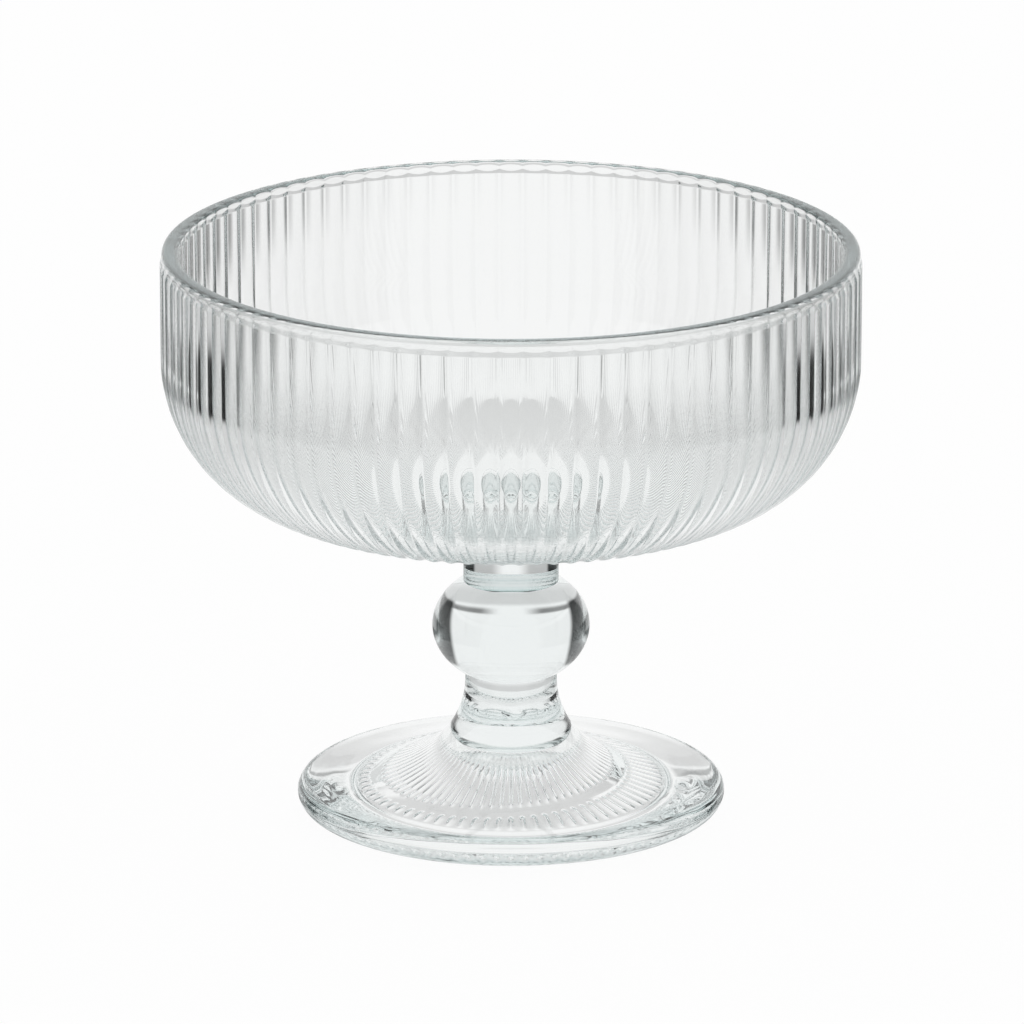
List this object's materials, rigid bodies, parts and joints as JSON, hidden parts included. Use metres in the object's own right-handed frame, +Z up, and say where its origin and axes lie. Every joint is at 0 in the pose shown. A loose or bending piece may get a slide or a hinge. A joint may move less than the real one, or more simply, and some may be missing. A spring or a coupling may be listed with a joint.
{
  "type": "footed dessert glass",
  "caption": "Wide round glass bowl with vertical ribs on a short neck, a flattened ball knop, a stem and a round foot, for desserts and ice cream.",
  "frame": {"origin": "on the table, under the middle of the foot", "axes": "+Z up along the axis of the glass"},
  "size_m": [0.115, 0.115, 0.097],
  "materials": {
    "foot_glass": "clear pressed soda-lime glass, fire polished, smooth on top and ribbed underneath",
    "stem_glass": "clear solid glass, fire polished",
    "knop_glass": "clear solid glass, fire polished",
    "neck_glass": "clear solid glass, fire polished",
    "bowl_glass": "clear pressed soda-lime glass, ribbed outside and smooth inside"
  },
  "bodies": {
    "root": {"foot": "foot_glass", "stem": "stem_glass", "knop": "knop_glass", "neck": "neck_glass", "bowl": "bowl_glass"}
  },
  "joints": []
}
